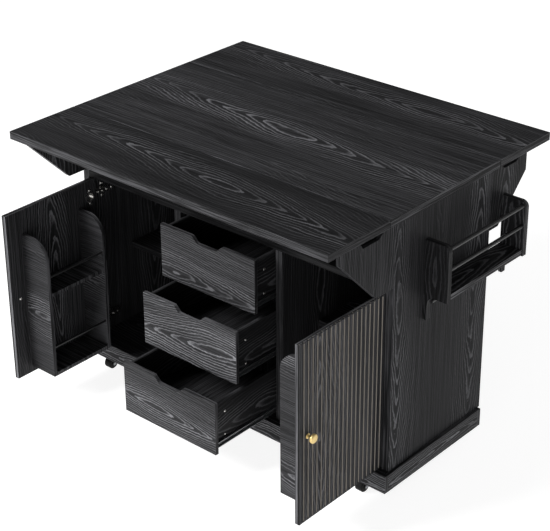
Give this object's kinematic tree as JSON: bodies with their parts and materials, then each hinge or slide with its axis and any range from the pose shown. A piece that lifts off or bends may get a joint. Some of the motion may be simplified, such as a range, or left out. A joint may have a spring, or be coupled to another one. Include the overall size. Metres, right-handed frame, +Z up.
{
  "type": "kitchen cart",
  "caption": "Rolling kitchen cart with a drop-leaf worktop on swing-out wings, fluted doors with inner racks, scooped drawers, a side spice rack with towel bar and swivel casters.",
  "frame": {"origin": "on the floor under the middle of the cabinet's footprint", "axes": "+X to the right along the front, +Y to the back, +Z up"},
  "size_m": [1.325, 1.1195, 0.915],
  "materials": {
    "black_wood": "black stained, satin, visible grain",
    "brass": "brushed",
    "nickel_steel": "nickel plated",
    "runner_steel": "zinc plated",
    "black_steel": "satin black",
    "wheel_rubber": "matte"
  },
  "bodies": {
    "cabinet": {"bottom_board": "black_wood", "plinth_front": "black_wood", "plinth_rear": "black_wood", "plinth_sides": "black_wood", "left_side_panel": "black_wood", "right_side_panel": "black_wood", "left_divider": "black_wood", "right_divider": "black_wood", "back_panel": "black_wood", "sub_top": "black_wood", "aprons": "black_wood", "centre_top": "black_wood", "leaf_hinge_plates": "nickel_steel", "left_shelf": "black_wood", "right_shelf": "black_wood", "shelf_pins": "nickel_steel", "wing_hinge_plates": "nickel_steel", "door_hinge_arms": "nickel_steel", "cabinet_runners": "runner_steel", "spice_rack_front_end": "black_wood", "spice_rack_rear_end": "black_wood", "spice_rack_shelf": "black_wood", "spice_rack_rods": "black_steel", "towel_bar": "black_steel", "caster_plates": "black_steel"},
    "front_leaf": {"front_leaf": "black_wood", "front_leaf_hinges": "nickel_steel"},
    "rear_leaf": {"rear_leaf": "black_wood", "rear_leaf_hinges": "nickel_steel"},
    "front_left_wing": {"front_left_wing": "black_wood"},
    "front_right_wing": {"front_right_wing": "black_wood"},
    "rear_left_wing": {"rear_left_wing": "black_wood"},
    "rear_right_wing": {"rear_right_wing": "black_wood"},
    "left_door": {"left_door": "black_wood", "left_knob": "brass", "left_hinge_cups": "nickel_steel", "left_door_rack": "black_wood", "left_door_rack_rods": "black_steel"},
    "right_door": {"right_door": "black_wood", "right_knob": "brass", "right_hinge_cups": "nickel_steel", "right_door_rack": "black_wood", "right_door_rack_rods": "black_steel"},
    "bottom_drawer": {"bottom_drawer_front": "black_wood", "bottom_drawer_box": "black_wood", "bottom_drawer_runners": "runner_steel"},
    "middle_drawer": {"middle_drawer_front": "black_wood", "middle_drawer_box": "black_wood", "middle_drawer_runners": "runner_steel"},
    "top_drawer": {"top_drawer_front": "black_wood", "top_drawer_box": "black_wood", "top_drawer_runners": "runner_steel"},
    "front_left_fork": {"front_left_caster_fork": "black_steel"},
    "front_left_wheel": {"front_left_caster_wheel": "wheel_rubber"},
    "front_right_fork": {"front_right_caster_fork": "black_steel"},
    "front_right_wheel": {"front_right_caster_wheel": "wheel_rubber"},
    "rear_left_fork": {"rear_left_caster_fork": "black_steel"},
    "rear_left_wheel": {"rear_left_caster_wheel": "wheel_rubber"},
    "rear_right_fork": {"rear_right_caster_fork": "black_steel"},
    "rear_right_wheel": {"rear_right_caster_wheel": "wheel_rubber"}
  },
  "joints": [
    {"name": "left_door_hinge", "type": "hinge", "parent": "cabinet", "child": "left_door", "pos_m": [-0.5855, -0.2245, 0.387], "axis": [0, 0, -1], "range_deg": [-90, 5]},
    {"name": "right_door_hinge", "type": "hinge", "parent": "cabinet", "child": "right_door", "pos_m": [0.5855, -0.2245, 0.387], "axis": [0, 0, 1], "range_deg": [-90, 5]},
    {"name": "bottom_drawer_slide", "type": "slide", "parent": "cabinet", "child": "bottom_drawer", "axis": [0, -1, 0], "range_m": [-0.266, 0.034]},
    {"name": "middle_drawer_slide", "type": "slide", "parent": "cabinet", "child": "middle_drawer", "axis": [0, -1, 0], "range_m": [-0.172, 0.128]},
    {"name": "top_drawer_slide", "type": "slide", "parent": "cabinet", "child": "top_drawer", "axis": [0, -1, 0], "range_m": [-0.088, 0.212]},
    {"name": "front_leaf_hinge", "type": "hinge", "parent": "cabinet", "child": "front_leaf", "pos_m": [0, -0.25075, 0.8867], "axis": [-1, 0, 0], "range_deg": [0, 4]},
    {"name": "rear_leaf_hinge", "type": "hinge", "parent": "cabinet", "child": "rear_leaf", "pos_m": [0, 0.26775, 0.8867], "axis": [1, 0, 0], "range_deg": [0, 4]},
    {"name": "front_left_wing_hinge", "type": "hinge", "parent": "cabinet", "child": "front_left_wing", "pos_m": [-0.596, -0.22875, 0.79485], "axis": [0, 0, -1], "range_deg": [-90, 0]},
    {"name": "front_right_wing_hinge", "type": "hinge", "parent": "cabinet", "child": "front_right_wing", "pos_m": [0.596, -0.22875, 0.79485], "axis": [0, 0, 1], "range_deg": [-90, 0]},
    {"name": "rear_left_wing_hinge", "type": "hinge", "parent": "cabinet", "child": "rear_left_wing", "pos_m": [-0.596, 0.22875, 0.79485], "axis": [0, 0, 1], "range_deg": [-90, 0]},
    {"name": "rear_right_wing_hinge", "type": "hinge", "parent": "cabinet", "child": "rear_right_wing", "pos_m": [0.596, 0.22875, 0.79485], "axis": [0, 0, -1], "range_deg": [-90, 0]},
    {"name": "front_left_caster_swivel", "type": "hinge", "parent": "cabinet", "child": "front_left_fork", "pos_m": [-0.53, -0.215, 0.068], "axis": [0, 0, 1], "continuous": true},
    {"name": "front_left_wheel_spin", "type": "hinge", "parent": "front_left_fork", "child": "front_left_wheel", "pos_m": [-0.53, -0.237, 0.019], "axis": [1, 0, 0], "continuous": true},
    {"name": "front_right_caster_swivel", "type": "hinge", "parent": "cabinet", "child": "front_right_fork", "pos_m": [0.53, -0.215, 0.068], "axis": [0, 0, 1], "continuous": true},
    {"name": "front_right_wheel_spin", "type": "hinge", "parent": "front_right_fork", "child": "front_right_wheel", "pos_m": [0.53, -0.237, 0.019], "axis": [1, 0, 0], "continuous": true},
    {"name": "rear_left_caster_swivel", "type": "hinge", "parent": "cabinet", "child": "rear_left_fork", "pos_m": [-0.53, 0.181, 0.068], "axis": [0, 0, 1], "continuous": true},
    {"name": "rear_left_wheel_spin", "type": "hinge", "parent": "rear_left_fork", "child": "rear_left_wheel", "pos_m": [-0.53, 0.159, 0.019], "axis": [1, 0, 0], "continuous": true},
    {"name": "rear_right_caster_swivel", "type": "hinge", "parent": "cabinet", "child": "rear_right_fork", "pos_m": [0.53, 0.181, 0.068], "axis": [0, 0, 1], "continuous": true},
    {"name": "rear_right_wheel_spin", "type": "hinge", "parent": "rear_right_fork", "child": "rear_right_wheel", "pos_m": [0.53, 0.159, 0.019], "axis": [1, 0, 0], "continuous": true}
  ]
}
